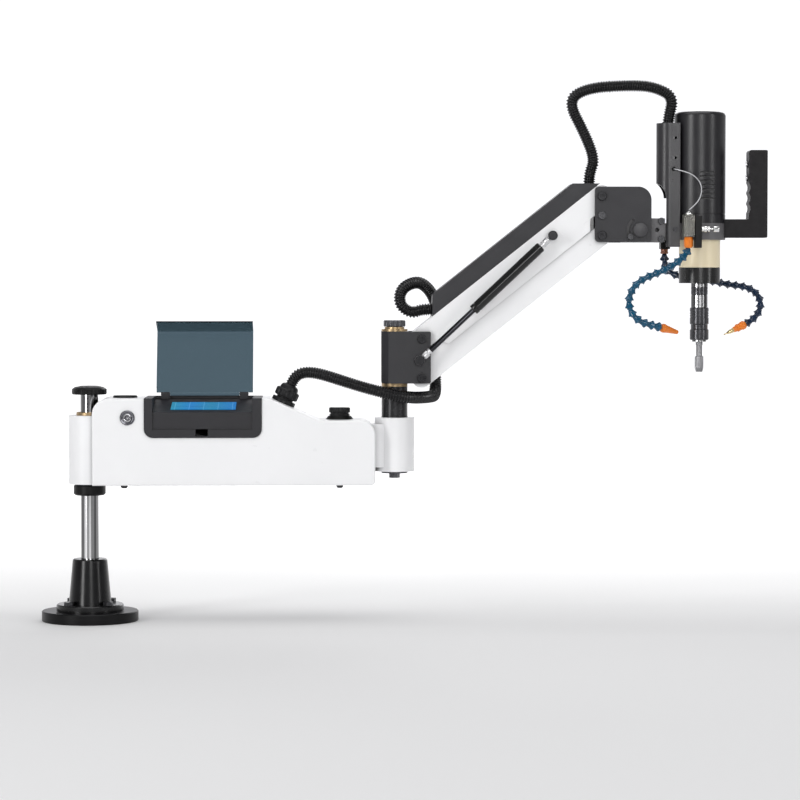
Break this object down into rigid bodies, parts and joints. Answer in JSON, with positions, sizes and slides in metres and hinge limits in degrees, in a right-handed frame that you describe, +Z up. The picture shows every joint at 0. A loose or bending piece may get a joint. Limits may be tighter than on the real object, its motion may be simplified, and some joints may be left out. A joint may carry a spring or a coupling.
{
  "type": "arm tapping machine",
  "caption": "Bench column with a swivelling control arm and lidded display, a strut-balanced parallelogram arm, and a tapping head with L handle, chuck, tap and coolant hoses.",
  "frame": {"origin": "centre of the base plate's bench bolt circle, on the bench, on the column's axis", "axes": "+X along both arms from the column to the tapping head, +Z up, the operator stands at -Y"},
  "size_m": [1.3202, 0.1873, 0.9828],
  "materials": {
    "grey_paint": "dark grey fine-textured powder coat",
    "head_grey": "darker satin grey",
    "display_lid": "smoked see-through acrylic, blue-grey",
    "stand_black": "black semi-gloss enamel on a casting",
    "white_paint": "white satin enamel",
    "cream_paint": "cream enamel",
    "ground_steel": "ground and polished",
    "dark_steel": "blackened steel",
    "black_screws": "black oxide",
    "brass": "turned bronze",
    "black_plastic": "matt black",
    "black_anodised": "black, satin",
    "strut_chrome": "hard chrome",
    "screen": "lit display behind glass",
    "trigger": "bright push buttons",
    "hose_orange": "orange, smooth",
    "hose_blue": "blue, smooth",
    "conduit": "ribbed black conduit",
    "lead": "grey lead",
    "tap_steel": "tool steel"
  },
  "bodies": {
    "stand": {"base_plate": "stand_black", "column_foot": "stand_black", "foot_screws": "black_screws", "column": "ground_steel", "column_knob": "black_plastic"},
    "collar": {"height_collar": "dark_steel", "collar_screw": "black_screws", "thrust_washer": "brass"},
    "control_arm": {"arm_housing": "white_paint", "arm_bottom_cover": "stand_black", "bottom_cover_screws": "black_screws", "column_bushes": "brass", "top_plug": "black_plastic", "foot_switch_socket": "black_plastic", "socket_cap": "black_plastic", "conduit_gland": "black_plastic", "power_switch_barrel": "ground_steel", "display_housing": "grey_paint", "touch_screen": "screen", "swivel_post": "dark_steel", "post_fastenings": "dark_steel", "conduit_lower_a": "conduit"},
    "power_cap": {"power_button": "ground_steel"},
    "lid": {"display_lid": "display_lid"},
    "block": {"swivel_block": "grey_paint", "swivel_bushes": "brass", "block_pins": "black_screws", "conduit_lower_b": "conduit"},
    "upper_link": {"upper_beam": "white_paint", "beam_cover": "grey_paint", "strut_upper_pin": "black_screws", "conduit_upper_a": "conduit"},
    "lower_link": {"lower_beam": "white_paint"},
    "strut_foot": {"strut_rod_front": "strut_chrome", "strut_cylinder_inner": "black_anodised"},
    "strut_head": {"strut_cylinder_front": "black_anodised", "strut_rod_inner": "strut_chrome"},
    "bracket": {"bracket_plates": "grey_paint", "bracket_pins": "black_screws", "bracket_screws": "black_screws"},
    "head": {"head_carrier": "head_grey", "carrier_screws": "black_screws", "cable_guide": "head_grey", "motor_housing": "grey_paint", "gearbox": "cream_paint", "gearbox_nose": "black_anodised", "handle": "black_plastic", "valve_bracket": "black_plastic", "coolant_valve": "ground_steel", "rear_fitting": "black_plastic", "hose_nozzles": "hose_orange", "coolant_hose_left": "hose_blue", "coolant_hose_right": "hose_blue", "signal_lead": "lead", "conduit_upper_b": "conduit"},
    "upper_trigger": {"grip_button_upper": "trigger"},
    "lower_trigger": {"grip_button_lower": "trigger"},
    "spindle": {"spindle": "ground_steel", "tap": "tap_steel"},
    "chuck_collar": {"quick_change_collar": "black_anodised"}
  },
  "joints": [
    {"name": "arm_height", "type": "slide", "parent": "stand", "child": "collar", "axis": [0, 0, 1], "range_m": [-0.1, 0.03]},
    {"name": "arm_swivel", "type": "hinge", "parent": "collar", "child": "control_arm", "pos_m": [0, 0, 0.25], "axis": [0, 0, 1], "range_deg": [-180, 180]},
    {"name": "power_press", "type": "slide", "parent": "control_arm", "child": "power_cap", "axis": [0, 1, 0], "range_m": [0, 0.002], "stiffness_N_per_m": 400, "springref_m": -0.001},
    {"name": "lid_hinge", "type": "hinge", "parent": "control_arm", "child": "lid", "pos_m": [0.207, 0.056, 0.4105], "axis": [1, 0, 0], "range_deg": [0, 110]},
    {"name": "block_swivel", "type": "hinge", "parent": "control_arm", "child": "block", "pos_m": [0.554, 0, 0.48], "axis": [0, 0, 1], "range_deg": [-120, 120], "deforming": ["conduit_lower_a"]},
    {"name": "arm_lift", "type": "hinge", "parent": "block", "child": "upper_link", "pos_m": [0.6023, 0, 0.5129], "axis": [0, -1, 0], "range_deg": [-48, 10], "deforming": ["conduit_lower_b"]},
    {"name": "lower_lift", "type": "hinge", "parent": "block", "child": "lower_link", "pos_m": [0.6023, 0, 0.4419], "axis": [0, -1, 0], "range_deg": [-48, 10]},
    {"name": "strut_foot_swing", "type": "hinge", "parent": "block", "child": "strut_foot", "pos_m": [0.5985, 0, 0.4747], "axis": [0, -1, 0], "range_deg": [-46, 10]},
    {"name": "strut_head_swing", "type": "hinge", "parent": "upper_link", "child": "strut_head", "pos_m": [0.83741, 0, 0.69924], "axis": [0, -1, 0], "range_deg": [-2, 4]},
    {"name": "head_level", "type": "hinge", "parent": "upper_link", "child": "bracket", "pos_m": [0.92753, 0, 0.77068], "axis": [0, -1, 0], "range_deg": [-10, 48], "deforming": ["conduit_upper_a"]},
    {"name": "head_tilt", "type": "hinge", "parent": "bracket", "child": "head", "pos_m": [0.99703, 0, 0.70968], "axis": [0, 1, 0], "range_deg": [0, 45], "deforming": ["conduit_upper_b"]},
    {"name": "spindle_turn", "type": "hinge", "parent": "head", "child": "spindle", "pos_m": [1.1097, 0, 0.56], "axis": [0, 0, -1], "continuous": true},
    {"name": "chuck_release", "type": "slide", "parent": "spindle", "child": "chuck_collar", "axis": [0, 0, -1], "range_m": [0, 0.003], "stiffness_N_per_m": 2000, "springref_m": -0.002},
    {"name": "upper_trigger_press", "type": "slide", "parent": "head", "child": "upper_trigger", "axis": [1, 0, 0], "range_m": [0, 0.0025], "stiffness_N_per_m": 400, "springref_m": -0.001},
    {"name": "lower_trigger_press", "type": "slide", "parent": "head", "child": "lower_trigger", "axis": [1, 0, 0], "range_m": [0, 0.0025], "stiffness_N_per_m": 400, "springref_m": -0.001}
  ],
  "couplings": [
    {"joint": "lower_lift", "follows": "arm_lift", "ratio": 1},
    {"joint": "head_level", "follows": "arm_lift", "ratio": -1},
    {"joint": "strut_foot_swing", "follows": "arm_lift", "ratio": 0.938},
    {"joint": "strut_head_swing", "follows": "arm_lift", "ratio": -0.062}
  ]
}
